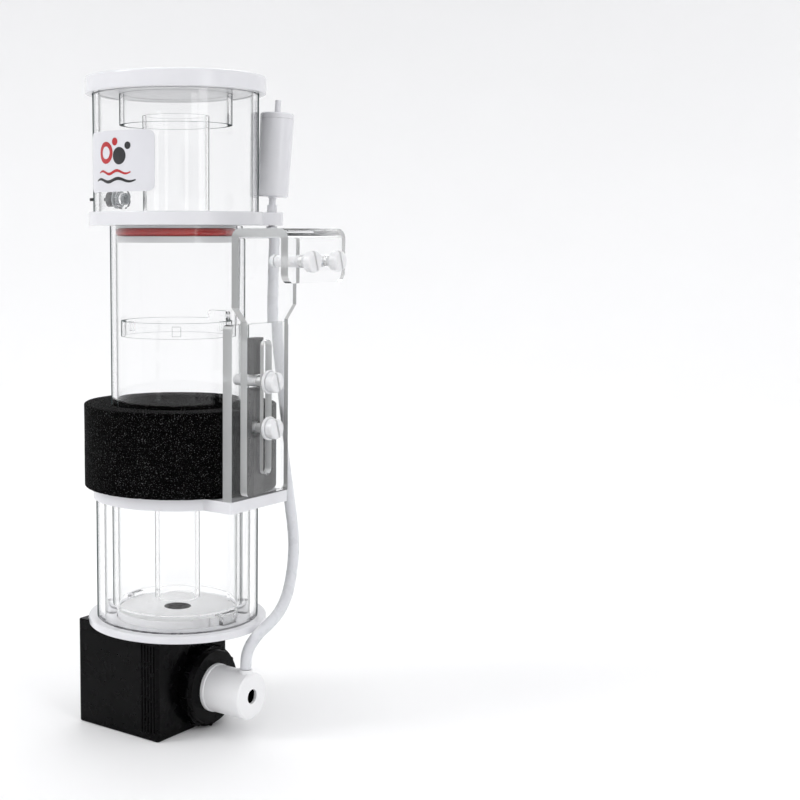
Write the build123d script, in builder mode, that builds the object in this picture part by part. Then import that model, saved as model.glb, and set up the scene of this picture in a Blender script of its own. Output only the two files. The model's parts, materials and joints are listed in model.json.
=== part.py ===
from build123d import *
import os
from math import cos, hypot, pi, radians, sin, tan

# Hang-on protein skimmer for a small marine tank. A clear column stands on a black needle-wheel pump and
# carries a foam cup with a lid; a slotted hook on its +X side hangs it over the edge of the tank.
# Frame: millimetres, +Z up along the column, +X towards the hook and the pump's intake, and the origin on
# the column's axis at the level of the pump's underside.

os.makedirs("parts", exist_ok=True)

# ---- driving dimensions ---------------------------------------------------------------------------------
TOTAL_HEIGHT = 350.0
SLIP = 0.3  # gap left between pieces that move past each other
GLUE = 0.05  # gap left in a glued round joint

# pump housing
PUMP_X = (-39.8, 17.9)
PUMP_Y = (-37.7, 21.1)
PUMP_HEIGHT = 58.2
ROTOR_Z = 22.8  # height of the rotor's axis, which runs along X at y = 0
OUTLET_R = 7.5

# base
BASE_R = 48.8
BASE_BOTTOM = 56.2
BASE_TOP = 60.3
PLATE_R = 33.0  # pump's outlet plate, which stands up through the base
PLATE_TOP = 64.3
TWIST_DEG = 24.0  # turn that frees the pump from the base
HOOK_ANGLE = -2.0  # middle of the first bayonet hook
PEG_ANGLE = 38.4

# tubes
CHAMBER_R = 44.2
CHAMBER_BORE_R = 40.0
COLUMN_R = 35.5
COLUMN_BORE_R = 32.5
COLUMN_BOTTOM = 67.5

# shelf, sponge and the fixed plate
SHELF_R = 45.7
SHELF_BOTTOM = 125.9
SHELF_TOP = 132.0
SPONGE_R = 50.5
SPONGE_TOP = 177.5
BACK_X = (50.9, 56.7)
BACK_HALF = 24.3
BACK_TOP = 222.3
PAD_HALF = 4.0
PAD_THICK = 4.4
PAD_TOP = 214.8

# hook
SHEET = 4.2
HANGER_X = BACK_X[1] + SLIP
HANGER_HALF = 25.0
HANGER_FOOT_HALF = 17.5
HANGER_TOP = 270.7
HANGER_BOTTOM = 134.0
HOOK_END_X = 91.5
HOOK_LEG_BOTTOM = 244.0
SLOT_WIDTH = 7.0
SLOT_Z = (143.7, 214.0)

# nylon screws
SCREW_R = 3.0
SCREW_HOLE_R = 3.1
PITCH = 1.25
THREAD_DEPTH = 0.35
HEAD_R = 5.3
LOCK_SCREW_Z = (168.2, 192.3)
CLAMP_SCREW_Y = 11.1
CLAMP_SCREW_Z = 254.5

# cup
FLOOR_R = 46.7
FLOOR_BOTTOM = 272.4
FLOOR_TOP = 279.5
COLUMN_TOP = FLOOR_BOTTOM - SLIP
CUP_R = 44.1
CUP_BORE_R = 41.1
CUP_TOP = 344.7
RISER_R = 17.7
RISER_BORE_R = 16.2
RISER_TOP = 329.8
NECK_R = 32.2
NECK_BOTTOM = 263.4
SEAL_R = 2.1
DRAIN_Z = 287.0
DRAIN_R = 3.2
LID_R = 47.9
LID_BOTTOM = 341.0
GUARD_R = 30.0
GUARD_WALL = 2.0
GUARD_BOTTOM = 325.0

# ear of the cup floor, with the air silencer over it and the hose under it
EAR_ANGLE = 51.5
EAR_REACH = 52.9
EAR_R = 6.2
SILENCER_LEAN = 3.2  # degrees away from the cup
HOSE_R = 3.0

EAR_X = EAR_REACH * cos(radians(EAR_ANGLE))
EAR_Y = EAR_REACH * sin(radians(EAR_ANGLE))


# ---- helpers --------------------------------------------------------------------------------------------
def finish(part, name):
    """Labels a piece and writes it out."""
    part.label = name
    export_step(part, f"parts/{name}.step")


def polar(radius, degrees):
    return (radius * cos(radians(degrees)), radius * sin(radians(degrees)))


def sector(inner, outer, middle, half, height):
    """A piece of a flat ring about the Z axis, as a sketch at that height."""
    with BuildSketch(Plane.XY.offset(height)) as piece:
        with BuildLine():
            CenterArc((0, 0), outer, middle - half, 2 * half)
            CenterArc((0, 0), inner, middle - half, 2 * half)
            for angle in (middle - half, middle + half):
                Line(polar(inner, angle), polar(outer, angle))
        make_face()
    return piece.sketch


def profile(points, plane):
    """A closed outline of straight edges on a plane, as a sketch."""
    with BuildSketch(plane) as outline:
        with BuildLine():
            Polyline(*points, close=True)
        make_face()
    return outline.sketch


def upright(x, y, z, lean=0.0, towards=0.0):
    """A plane at that point whose Z axis stands up, or leans by some degrees towards a compass angle."""
    out = Vector(cos(radians(towards)), sin(radians(towards)), 0)
    axis = out * sin(radians(lean)) + Vector(0, 0, 1) * cos(radians(lean))
    return Plane(origin=(x, y, z), x_dir=axis.cross(out).cross(axis), z_dir=axis)


def along_x(x, y, z):
    """A plane at that point that faces +X."""
    return Plane(origin=(x, y, z), x_dir=(0, 1, 0), z_dir=(1, 0, 0))


def side_of(plane):
    """The plane that holds the first one's X and Z axes, for outlines of (radius, height)."""
    return Plane(origin=plane.origin, x_dir=plane.x_dir, z_dir=-plane.y_dir)


def thread(start, end, radius):
    """Outline points of thread ridges from one height to another, as rings of V section."""
    count = int((end - start) / PITCH)
    points = []
    for i in range(count):
        points.append((radius - THREAD_DEPTH, start + i * PITCH))
        points.append((radius, start + (i + 0.5) * PITCH))
    points.append((radius - THREAD_DEPTH, start + count * PITCH))
    return points


def make_tube(name, outer, inner, bottom, top):
    """A plain round tube about the Z axis."""
    with BuildPart() as tube:
        with BuildSketch(Plane.XY.offset(bottom)):
            Circle(outer)
            Circle(inner, mode=Mode.SUBTRACT)
        extrude(amount=top - bottom)
    finish(tube.part, name)


# ---- pump -----------------------------------------------------------------------------------------------
WALL = 3.0
MOTOR_X1 = -12.0
VOLUTE_X0 = -8.0
VOLUTE_R = 18.0
CAN_R = 10.8
CAN_BORE_R = 9.6
CAN_X0 = -35.0
SHAFT_R = 1.5
RUNNING = 0.05
RECESS_R = BASE_R + 0.5
RECESS_Z = BASE_BOTTOM - SLIP
ROTOR = along_x(0, 0, ROTOR_Z)
MOTOR_Y = (PUMP_Y[0] + WALL, PUMP_Y[1] - WALL)
MOTOR_Z = (WALL, 53.0)


def rotor_plane(x):
    return along_x(x, 0, ROTOR_Z)


def box_sketch(plane, low, high):
    """A rectangle between two corners of a plane's own axes, as a sketch."""
    with BuildSketch(plane) as rectangle:
        with Locations(((low[0] + high[0]) / 2, (low[1] + high[1]) / 2)):
            Rectangle(high[0] - low[0], high[1] - low[1])
    return rectangle.sketch


RIB_COUNT = 5
RIB_STEP = 2.1
RIB_WIDTH = 0.9
RIB_DEPTH = 0.6
RIB_START = 2.2

with BuildPart() as pump_housing:
    extrude(box_sketch(Plane.XY, (PUMP_X[0], PUMP_Y[0]), (PUMP_X[1], PUMP_Y[1])), amount=PUMP_HEIGHT)
    fillet(pump_housing.edges().filter_by(Axis.Z), radius=1.8)
    fillet(pump_housing.faces().sort_by(Axis.Z)[0].edges(), radius=1.0)
    fillet(pump_housing.faces().sort_by(Axis.Z)[-1].edges(), radius=0.8)
    # round seat for the base plate
    with BuildSketch(Plane.XY.offset(RECESS_Z)):
        Circle(RECESS_R)
    extrude(amount=PUMP_HEIGHT - RECESS_Z + 1, mode=Mode.SUBTRACT)
    # grooves down the front, beside the volute
    for i in range(RIB_COUNT):
        x = PUMP_X[1] - RIB_START - i * RIB_STEP
        groove = ((x - RIB_WIDTH, PUMP_Y[0] - 1), (x, PUMP_Y[0] + RIB_DEPTH))
        extrude(box_sketch(Plane.XY.offset(4), *groove), amount=48, mode=Mode.SUBTRACT)
    # motor space, open at the back
    motor_hole = box_sketch(along_x(PUMP_X[0], 0, 0), (MOTOR_Y[0], MOTOR_Z[0]), (MOTOR_Y[1], MOTOR_Z[1]))
    extrude(motor_hole, amount=MOTOR_X1 - PUMP_X[0], mode=Mode.SUBTRACT)
    # seat of the rotor can, volute and its outlet
    with BuildSketch(rotor_plane(MOTOR_X1 - 1)):
        Circle(CAN_R + GLUE)
    extrude(amount=VOLUTE_X0 - MOTOR_X1 + 2, mode=Mode.SUBTRACT)
    with BuildSketch(rotor_plane(VOLUTE_X0)):
        Circle(VOLUTE_R)
    extrude(amount=PUMP_X[1] - VOLUTE_X0 + 1, mode=Mode.SUBTRACT)
    with BuildSketch(Plane.XY.offset(ROTOR_Z)):
        Circle(OUTLET_R)
    extrude(amount=PUMP_HEIGHT, mode=Mode.SUBTRACT)
finish(pump_housing.part, "pump_housing")

with BuildPart() as motor_back_plate:
    inset = 0.1
    back_outline = box_sketch(
        along_x(PUMP_X[0], 0, 0),
        (MOTOR_Y[0] + inset, MOTOR_Z[0] + inset),
        (MOTOR_Y[1] - inset, MOTOR_Z[1] - inset),
    )
    extrude(back_outline, amount=2.0)
finish(motor_back_plate.part, "motor_back_plate")

GLAND_Y = -8.0
GLAND_Z = 40.0
with BuildPart() as cable_gland:
    gland_plane = Plane(origin=(PUMP_X[0], GLAND_Y, GLAND_Z), x_dir=(0, -1, 0), z_dir=(-1, 0, 0))
    with BuildSketch(gland_plane):
        RegularPolygon(radius=6.5, side_count=6)
    extrude(amount=3.0)
    with BuildSketch(gland_plane.offset(3.0)):
        Circle(4.6)
    extrude(amount=6.0, taper=8)
    with BuildSketch(gland_plane.offset(1.0)):
        Circle(2.4)
    extrude(amount=10.0, mode=Mode.SUBTRACT)
finish(cable_gland.part, "cable_gland")

with BuildPart() as rotor_can:
    can_outline = [(0, 0), (CAN_R, 0), (CAN_R, VOLUTE_X0 - CAN_X0), (CAN_BORE_R, VOLUTE_X0 - CAN_X0)]
    can_outline += [(CAN_BORE_R, 1.2), (0, 1.2)]
    revolve(profile(can_outline, side_of(rotor_plane(CAN_X0))), axis=Axis(ROTOR.origin, ROTOR.z_dir))
finish(rotor_can.part, "rotor_can")

CORE_X = (-31.0, -17.0)
CORE_Y = (-32.0, 15.0)
CORE_Z = (7.0, 39.0)
LEG_Y1 = -28.0
with BuildPart() as stator_core:
    core_face = along_x(CORE_X[0], 0, 0)
    extrude(box_sketch(core_face, (CORE_Y[0], CORE_Z[0]), (CORE_Y[1], CORE_Z[1])), amount=CORE_X[1] - CORE_X[0])
    extrude(box_sketch(core_face, (LEG_Y1, 12.0), (-14.0, 34.0)), amount=CORE_X[1] - CORE_X[0], mode=Mode.SUBTRACT)
    with BuildSketch(rotor_plane(CORE_X[0])):
        Circle(CAN_R + 0.2)
    extrude(amount=CORE_X[1] - CORE_X[0], mode=Mode.SUBTRACT)
finish(stator_core.part, "stator_core")

COIL_WIRE = 2.6
with BuildPart() as stator_coil:
    leg_low = (CORE_X[0] - SLIP, CORE_Y[0] - SLIP)
    leg_high = (CORE_X[1] + SLIP, LEG_Y1 + SLIP)
    with BuildSketch(Plane.XY.offset(12.5)):
        with Locations(((leg_low[0] + leg_high[0]) / 2, (leg_low[1] + leg_high[1]) / 2)):
            leg_size = (leg_high[0] - leg_low[0], leg_high[1] - leg_low[1])
            RectangleRounded(leg_size[0] + 2 * COIL_WIRE - 1, leg_size[1] + 2 * COIL_WIRE - 1, 1.5)
            Rectangle(*leg_size, mode=Mode.SUBTRACT)
    extrude(amount=21.0)
finish(stator_coil.part, "stator_coil")

NOTCH_HALF = 9.5
with BuildPart() as outlet_plate:
    with BuildSketch(Plane.XY.offset(RECESS_Z)):
        Circle(PLATE_R)
    extrude(amount=PLATE_TOP - RECESS_Z)
    fillet(outlet_plate.faces().sort_by(Axis.Z)[-1].edges(), radius=0.6)
    with BuildSketch(Plane.XY.offset(RECESS_Z)):
        Circle(OUTLET_R)
    extrude(amount=PLATE_TOP - RECESS_Z, mode=Mode.SUBTRACT)
    for turn in (0, 180):
        notch = sector(PLATE_R - 2.9, PLATE_R + 2, HOOK_ANGLE - TWIST_DEG + turn, NOTCH_HALF, RECESS_Z)
        extrude(notch, amount=PLATE_TOP - RECESS_Z, mode=Mode.SUBTRACT)
finish(outlet_plate.part, "outlet_plate")

# black lining of the outlet, from the pump's housing up to the top of the plate
SLEEVE_WALL = 1.2
with BuildPart() as outlet_sleeve:
    lining_bottom = PUMP_HEIGHT - 8
    with BuildSketch(Plane.XY.offset(lining_bottom)):
        Circle(OUTLET_R - GLUE)
        Circle(OUTLET_R - GLUE - SLEEVE_WALL, mode=Mode.SUBTRACT)
    extrude(amount=PLATE_TOP - 0.1 - lining_bottom)
finish(outlet_sleeve.part, "outlet_sleeve")

COVER_X = (PUMP_X[1] + 0.3, PUMP_X[1] + 8.3)
COVER_R = 21.7
COVER_RIBS = 12
SPIGOT_R = 9.0
with BuildPart() as volute_cover:
    with BuildSketch(rotor_plane(COVER_X[0])):
        Circle(COVER_R)
        with PolarLocations(COVER_R - 0.7, COVER_RIBS):
            Circle(1.5)
    extrude(amount=5.5)
    with BuildSketch(rotor_plane(COVER_X[0] + 5.5)):
        Circle(COVER_R - 1.0)
    extrude(amount=2.5, taper=20)
    with BuildSketch(rotor_plane(COVER_X[0] - 3.7)):
        Circle(VOLUTE_R - 0.2)
        Circle(VOLUTE_R - 2.4, mode=Mode.SUBTRACT)
    extrude(amount=3.7)
    # groove for the seal
    with BuildSketch(rotor_plane(COVER_X[0])):
        Circle(20.3)
        Circle(18.5, mode=Mode.SUBTRACT)
    extrude(amount=1.3, mode=Mode.SUBTRACT)
    with BuildSketch(rotor_plane(COVER_X[0])):
        Circle(SPIGOT_R + GLUE)
    extrude(amount=10, mode=Mode.SUBTRACT)
finish(volute_cover.part, "volute_cover")

with BuildPart() as cover_seal:
    with BuildSketch(side_of(rotor_plane(COVER_X[0] + 0.5))):
        with Locations((19.4, 0)):
            Circle(0.7)
    revolve(axis=Axis(ROTOR.origin, ROTOR.z_dir))
finish(cover_seal.part, "cover_seal")

INTAKE_X0 = COVER_X[1] + 0.2
INTAKE_X1 = 51.8
INTAKE_R = 12.7
INTAKE_HOLE_R = 3.95
SPIGOT_X0 = 10.0
SPIGOT_BORE_R = 6.5
AIR_PORT_X = 47.5
PORT_TOP = 37.1
FRONT_WALL = 1.5
HUB_R = 4.3
BUSH_R = 3.0
with BuildPart() as intake:
    length = INTAKE_X1 - SPIGOT_X0
    back = INTAKE_X0 - SPIGOT_X0
    intake_outline = [
        (SPIGOT_BORE_R, 0),
        (SPIGOT_R, 0),
        (SPIGOT_R, back),
        (INTAKE_R + 0.4, back),
        (INTAKE_R + 0.4, back + 1.8),
        (INTAKE_R, back + 2.2),
        (INTAKE_R, length - 0.9),
        (INTAKE_R - 0.9, length),
        (INTAKE_HOLE_R, length),
        (INTAKE_HOLE_R, length - FRONT_WALL),
        (SPIGOT_R + 0.6, length - FRONT_WALL),
        (SPIGOT_R + 0.6, back + 3),
        (SPIGOT_BORE_R, back + 3),
    ]
    revolve(profile(intake_outline, side_of(rotor_plane(SPIGOT_X0))), axis=Axis(ROTOR.origin, ROTOR.z_dir))
    # port for the air hose, on top
    with BuildSketch(Plane.XY.offset(ROTOR_Z + SPIGOT_R + 1.2)):
        with Locations((AIR_PORT_X, 0)):
            Circle(HOSE_R + 0.6)
    extrude(amount=PORT_TOP - ROTOR_Z - SPIGOT_R - 1.2)
    with BuildSketch(Plane.XY.offset(ROTOR_Z + 5)):
        with Locations((AIR_PORT_X, 0)):
            Circle(1.3)
    extrude(amount=PORT_TOP - ROTOR_Z, mode=Mode.SUBTRACT)
    # spider that holds the front end of the shaft
    with BuildSketch(rotor_plane(SPIGOT_X0)):
        Circle(HUB_R)
        with PolarLocations(0, 3):
            with Locations((SPIGOT_BORE_R / 2 + 0.3, 0)):
                Rectangle(SPIGOT_BORE_R + 0.2, 1.4)
        Circle(BUSH_R + GLUE, mode=Mode.SUBTRACT)
    extrude(amount=3.0)
finish(intake.part, "intake")

with BuildPart() as intake_sleeve:
    sleeve_r = SPIGOT_R + 0.6 - GLUE
    sleeve_length = AIR_PORT_X - 1.6 - INTAKE_X0 - 3 - GLUE
    sleeve_outline = [
        (SPIGOT_BORE_R, 0),
        (sleeve_r, 0),
        (sleeve_r, sleeve_length),
        (sleeve_r - SLEEVE_WALL, sleeve_length),
        (sleeve_r - SLEEVE_WALL, SLEEVE_WALL),
        (SPIGOT_BORE_R, SLEEVE_WALL),
    ]
    sleeve_start = rotor_plane(INTAKE_X0 + 3 + GLUE)
    revolve(profile(sleeve_outline, side_of(sleeve_start)), axis=Axis(ROTOR.origin, ROTOR.z_dir))
finish(intake_sleeve.part, "intake_sleeve")

with BuildPart() as front_bush:
    with BuildSketch(rotor_plane(SPIGOT_X0)):
        Circle(BUSH_R)
        Circle(SHAFT_R + RUNNING, mode=Mode.SUBTRACT)
    extrude(amount=3.0)
finish(front_bush.part, "front_bush")

with BuildPart() as rear_bush:
    with BuildSketch(rotor_plane(CAN_X0 + 1.25)):
        Circle(BUSH_R)
        Circle(SHAFT_R + RUNNING, mode=Mode.SUBTRACT)
    extrude(amount=2.2)
finish(rear_bush.part, "rear_bush")

with BuildPart() as rotor_shaft:
    with BuildSketch(rotor_plane(CAN_X0 + 1.3)):
        Circle(SHAFT_R)
    extrude(amount=SPIGOT_X0 + 3.0 - CAN_X0 - 1.3)
    chamfer(rotor_shaft.edges(), length=0.3)
finish(rotor_shaft.part, "rotor_shaft")

MAGNET_X = (-31.0, VOLUTE_X0 - 0.4)
MAGNET_R = 8.9
WHEEL_X = -5.6
WHEEL_R = 15.0
with BuildPart() as rotor_magnet:
    with BuildSketch(rotor_plane(MAGNET_X[0])):
        Circle(MAGNET_R)
        Circle(SHAFT_R + RUNNING, mode=Mode.SUBTRACT)
    extrude(amount=MAGNET_X[1] - MAGNET_X[0])
finish(rotor_magnet.part, "rotor_magnet")

NEEDLE_R = 0.7
NEEDLE_LENGTH = 9.0
with BuildPart() as impeller:
    with BuildSketch(rotor_plane(MAGNET_X[1])):
        Circle(4.0)
    extrude(amount=WHEEL_X - MAGNET_X[1])
    with BuildSketch(rotor_plane(WHEEL_X)):
        Circle(WHEEL_R)
    extrude(amount=1.6)
    with BuildSketch(rotor_plane(WHEEL_X + 1.6)):
        Circle(3.4)
    extrude(amount=11.0)
    with BuildSketch(rotor_plane(WHEEL_X + 1.6)):
        for ring, count in ((6.4, 8), (9.8, 12), (13.2, 16)):
            with PolarLocations(ring, count):
                Circle(NEEDLE_R)
    extrude(amount=NEEDLE_LENGTH)
    with BuildSketch(rotor_plane(MAGNET_X[1])):
        Circle(SHAFT_R + RUNNING)
    extrude(amount=30, mode=Mode.SUBTRACT)
finish(impeller.part, "impeller")

# ---- base and tubes -------------------------------------------------------------------------------------
with BuildPart() as base_flange:
    with BuildSketch(Plane.XY.offset(BASE_BOTTOM)):
        Circle(BASE_R)
    extrude(amount=BASE_TOP - BASE_BOTTOM)
    fillet(base_flange.edges(), radius=0.6)
    with BuildSketch(Plane.XY.offset(BASE_BOTTOM)):
        Circle(PLATE_R + 0.4)
    extrude(amount=BASE_TOP - BASE_BOTTOM, mode=Mode.SUBTRACT)
finish(base_flange.part, "base_flange")

HOOK_HALF = 8.0
HOOK_TOP = 66.8
with BuildPart() as bayonet_hooks:
    for turn in (0, 180):
        middle = HOOK_ANGLE + turn
        extrude(sector(PLATE_R + 0.7, PLATE_R + 3.6, middle, HOOK_HALF, BASE_TOP), amount=HOOK_TOP - BASE_TOP)
        lip = sector(PLATE_R - 2.2, PLATE_R + 0.9, middle, HOOK_HALF, PLATE_TOP + SLIP)
        extrude(lip, amount=HOOK_TOP - PLATE_TOP - SLIP)
finish(bayonet_hooks.part, "bayonet_hooks")

with BuildPart() as tube_pegs:
    with BuildSketch(Plane.XY.offset(BASE_TOP)):
        with Locations(polar(36.7, PEG_ANGLE), polar(36.7, PEG_ANGLE + 180)):
            Circle(2.9)
    extrude(amount=COLUMN_BOTTOM - BASE_TOP)
finish(tube_pegs.part, "tube_pegs")

make_tube("chamber_tube", CHAMBER_R, CHAMBER_BORE_R, BASE_TOP, SHELF_BOTTOM)
make_tube("column_tube", COLUMN_R, COLUMN_BORE_R, COLUMN_BOTTOM, COLUMN_TOP)

BUBBLE_PIPE_R = 12.2
BUBBLE_PIPE_BORE_R = 10.2
make_tube("bubble_pipe", BUBBLE_PIPE_R, BUBBLE_PIPE_BORE_R, 70.0, 150.0)

with BuildPart() as bubble_plate:
    with BuildSketch(Plane.XY.offset(140)):
        Circle(COLUMN_BORE_R - GLUE)
        Circle(BUBBLE_PIPE_R + GLUE, mode=Mode.SUBTRACT)
        for ring, count in ((16.5, 12), (22.0, 16), (27.5, 20)):
            with PolarLocations(ring, count):
                Circle(1.6, mode=Mode.SUBTRACT)
    extrude(amount=3.0)
finish(bubble_plate.part, "bubble_plate")

RING_Z = (213.6, 221.7)
RING_R = 30.0
RING_BORE_R = 28.0
TAB_HEIGHT = 4.4
with BuildPart() as guide_ring:
    with BuildSketch(Plane.XY.offset(RING_Z[0])):
        Circle(RING_R)
        Circle(RING_BORE_R, mode=Mode.SUBTRACT)
    extrude(amount=RING_Z[1] - RING_Z[0])
    for angle in (70, 190, 310):
        pad = sector(RING_R - 1, COLUMN_BORE_R - GLUE, angle, 4, RING_Z[0] + 1.5)
        extrude(pad, amount=5.0)
    tab = extrude(sector(RING_BORE_R, RING_R, 71, 20, RING_Z[1]), amount=TAB_HEIGHT)
    tab_corners = tab.edges().filter_by(GeomType.LINE)
    tab_corners = tab_corners.filter_by(lambda e: abs(e.center().Z - RING_Z[1] - TAB_HEIGHT) < 0.01)
    fillet(tab_corners, radius=2.0)
finish(guide_ring.part, "guide_ring")

# ---- shelf, fixed plate and sponge ----------------------------------------------------------------------
with BuildPart() as shelf:
    with BuildSketch(Plane.XY.offset(SHELF_BOTTOM)):
        Circle(SHELF_R)
        with Locations((BACK_X[1] / 2, 0)):
            Rectangle(BACK_X[1], 2 * BACK_HALF + 0.6)
    extrude(amount=SHELF_TOP - SHELF_BOTTOM)
    fillet(shelf.edges().filter_by(Axis.Z).group_by(Axis.X)[-1], radius=1.5)
    with BuildSketch(Plane.XY.offset(SHELF_BOTTOM)):
        Circle(COLUMN_R + GLUE)
    extrude(amount=SHELF_TOP - SHELF_BOTTOM, mode=Mode.SUBTRACT)
    # water outlets between the two tubes
    for i in range(8):
        slot = sector(COLUMN_R + 1.2, CHAMBER_BORE_R - 0.6, 22.5 + i * 45, 15, SHELF_BOTTOM)
        extrude(slot, amount=SHELF_TOP - SHELF_BOTTOM, mode=Mode.SUBTRACT)
finish(shelf.part, "shelf")

with BuildPart() as back_plate:
    plate_sheet = box_sketch(along_x(BACK_X[0], 0, 0), (-BACK_HALF, SHELF_TOP), (BACK_HALF, BACK_TOP))
    extrude(plate_sheet, amount=BACK_X[1] - BACK_X[0])
    fillet(back_plate.edges().filter_by(Axis.X).group_by(Axis.Z)[-1], radius=2.5)
    for z in LOCK_SCREW_Z:
        with BuildSketch(along_x(BACK_X[0], 0, z)):
            Circle(SCREW_HOLE_R)
        extrude(amount=BACK_X[1] - BACK_X[0], mode=Mode.SUBTRACT)
finish(back_plate.part, "back_plate")

LOCK_TIP_X = 38.0
PAD_GAP = SCREW_R + 0.5  # left free above and below each locking screw
PAD_STOPS = [SHELF_TOP, *(z + step for z in LOCK_SCREW_Z for step in (-PAD_GAP, PAD_GAP)), PAD_TOP]
for level, bottom, top in zip(("lower", "middle", "upper"), PAD_STOPS[::2], PAD_STOPS[1::2]):
    pad_face = along_x(BACK_X[0] - GLUE - PAD_THICK, 0, 0)
    with BuildPart() as pad:
        extrude(box_sketch(pad_face, (-PAD_HALF, bottom), (PAD_HALF, top)), amount=PAD_THICK)
    finish(pad.part, f"pad_{level}")

SLIT_HALF = PAD_HALF + 0.4
with BuildPart() as sponge_ring:
    with BuildSketch(Plane.XY.offset(SHELF_TOP + SLIP)):
        Circle(SPONGE_R)
        Circle(COLUMN_R + SLIP + 0.1, mode=Mode.SUBTRACT)
        with Locations((SPONGE_R, 0)):
            Rectangle(2 * SPONGE_R, 2 * SLIT_HALF, mode=Mode.SUBTRACT)
    extrude(amount=SPONGE_TOP - SHELF_TOP - SLIP)
finish(sponge_ring.part, "sponge_ring")

# ---- hook -----------------------------------------------------------------------------------------------
SHOULDER_Z = (223.8, 231.2)
with BuildPart() as hanger:
    inner_x = HANGER_X + SHEET
    leg_x = HOOK_END_X - SHEET
    under = HANGER_TOP - SHEET
    side_outline = [
        (HANGER_X, HANGER_BOTTOM),
        (inner_x, HANGER_BOTTOM),
        (inner_x, under),
        (leg_x, under),
        (leg_x, HOOK_LEG_BOTTOM),
        (HOOK_END_X, HOOK_LEG_BOTTOM),
        (HOOK_END_X, HANGER_TOP),
        (HANGER_X, HANGER_TOP),
    ]
    # drawn on the plane y = -half, whose own axes are X and Z, and extruded towards +Y
    hook_side = Plane(origin=(0, -HANGER_HALF, 0), x_dir=(1, 0, 0), z_dir=(0, -1, 0))
    extrude(profile(side_outline, hook_side), amount=-2 * HANGER_HALF)
    bends = hanger.edges().filter_by(Axis.Y)
    fillet(bends.filter_by(lambda e: abs(e.center().Z - HANGER_TOP) < 0.01), radius=5.0)
    bends = hanger.edges().filter_by(Axis.Y)
    fillet(bends.filter_by(lambda e: abs(e.center().Z - under) < 0.01), radius=1.2)
    leg_feet = hanger.edges().filter_by(Axis.X).filter_by(lambda e: abs(e.center().Z - HOOK_LEG_BOTTOM) < 0.01)
    fillet(leg_feet, radius=5.0)
    # narrow lower half, with sloping shoulders and rounded feet
    for side in (-1, 1):
        waste = [
            (side * HANGER_FOOT_HALF, HANGER_BOTTOM - 1),
            (side * HANGER_FOOT_HALF, SHOULDER_Z[0]),
            (side * HANGER_HALF, SHOULDER_Z[1]),
            (side * (HANGER_HALF + 2), SHOULDER_Z[1]),
            (side * (HANGER_HALF + 2), HANGER_BOTTOM - 1),
        ]
        extrude(profile(waste, along_x(HANGER_X - 1, 0, 0)), amount=SHEET + 2, mode=Mode.SUBTRACT)
    feet = hanger.edges().filter_by(Axis.X).filter_by(lambda e: abs(e.center().Z - HANGER_BOTTOM) < 0.01)
    fillet(feet, radius=3.0)
    # adjusting slot
    with BuildSketch(along_x(HANGER_X - 1, 0, (SLOT_Z[0] + SLOT_Z[1]) / 2)):
        SlotOverall(SLOT_Z[1] - SLOT_Z[0], SLOT_WIDTH, rotation=90)
    extrude(amount=SHEET + 2, mode=Mode.SUBTRACT)
    # holes for the two clamp screws
    with BuildSketch(along_x(leg_x - 1, 0, CLAMP_SCREW_Z)):
        with Locations((-CLAMP_SCREW_Y, 0), (CLAMP_SCREW_Y, 0)):
            Circle(SCREW_HOLE_R)
    extrude(amount=SHEET + 2, mode=Mode.SUBTRACT)
finish(hanger.part, "hanger")

WASHER_X = HANGER_X + SHEET + SLIP
WASHER_THICK = 1.5
LOCK_HEAD_X = WASHER_X + WASHER_THICK + 0.1
LOCK_HEAD_THICK = 5.0
CLAMP_HEAD_X = 94.0
CLAMP_HEAD_THICK = 4.6
CLAMP_TIP_X = 71.5
CAP_LENGTH = 3.0
NOSE_R = 1.5
NOSE_LENGTH = 1.6


def make_washer(name, z):
    with BuildPart() as washer:
        with BuildSketch(along_x(WASHER_X, 0, z)):
            Circle(6.2)
            Circle(SCREW_HOLE_R, mode=Mode.SUBTRACT)
        extrude(amount=WASHER_THICK)
        rims = washer.edges().filter_by(GeomType.CIRCLE).filter_by(lambda e: e.radius > 6.1)
        fillet(rims, radius=0.3)
    finish(washer.part, name)


def make_screw(name, y, z, tip_x, head_x, head_thick, nose):
    """A slotted round-headed nylon screw along X, its head at the +X end."""
    with BuildPart() as screw:
        reach = head_x - tip_x
        start = along_x(tip_x, y, z)
        points = [(0, -nose), (NOSE_R, -nose), (NOSE_R, 0)] if nose else [(0, 0)]
        points += thread(0, reach - 0.4, SCREW_R)
        points += [(SCREW_R - THREAD_DEPTH, reach), (HEAD_R, reach), (HEAD_R, reach + head_thick)]
        points += [(0, reach + head_thick)]
        revolve(profile(points, side_of(start)), axis=Axis(start.origin, start.z_dir))
        rim = screw.edges().filter_by(GeomType.CIRCLE).group_by(Axis.X)[-1]
        fillet(rim, radius=1.2)
        rim = screw.edges().filter_by(GeomType.CIRCLE).filter_by(
            lambda e: abs(e.center().X - head_x) < 0.01 and e.radius > HEAD_R - 0.01
        )
        fillet(rim, radius=0.5)
        with BuildSketch(along_x(head_x + head_thick - 1.8, y, z)):
            Rectangle(1.5, 3 * HEAD_R, rotation=18)
        extrude(amount=3, mode=Mode.SUBTRACT)
    finish(screw.part, name)


def make_tip(name, y, z):
    """Soft cap on the end of a clamp screw."""
    with BuildPart() as cap:
        start = along_x(CLAMP_TIP_X, y, z)
        rim = SCREW_R + 0.3
        outline = [(0, 0), (1.8, 0), (2.9, 0.5), (rim, 1.4), (rim, CAP_LENGTH), (0, CAP_LENGTH)]
        revolve(profile(outline, side_of(start)), axis=Axis(start.origin, start.z_dir))
        with BuildSketch(along_x(CLAMP_TIP_X + CAP_LENGTH - NOSE_LENGTH - 0.1, y, z)):
            Circle(NOSE_R + RUNNING)
        extrude(amount=5, mode=Mode.SUBTRACT)
    finish(cap.part, name)


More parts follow.
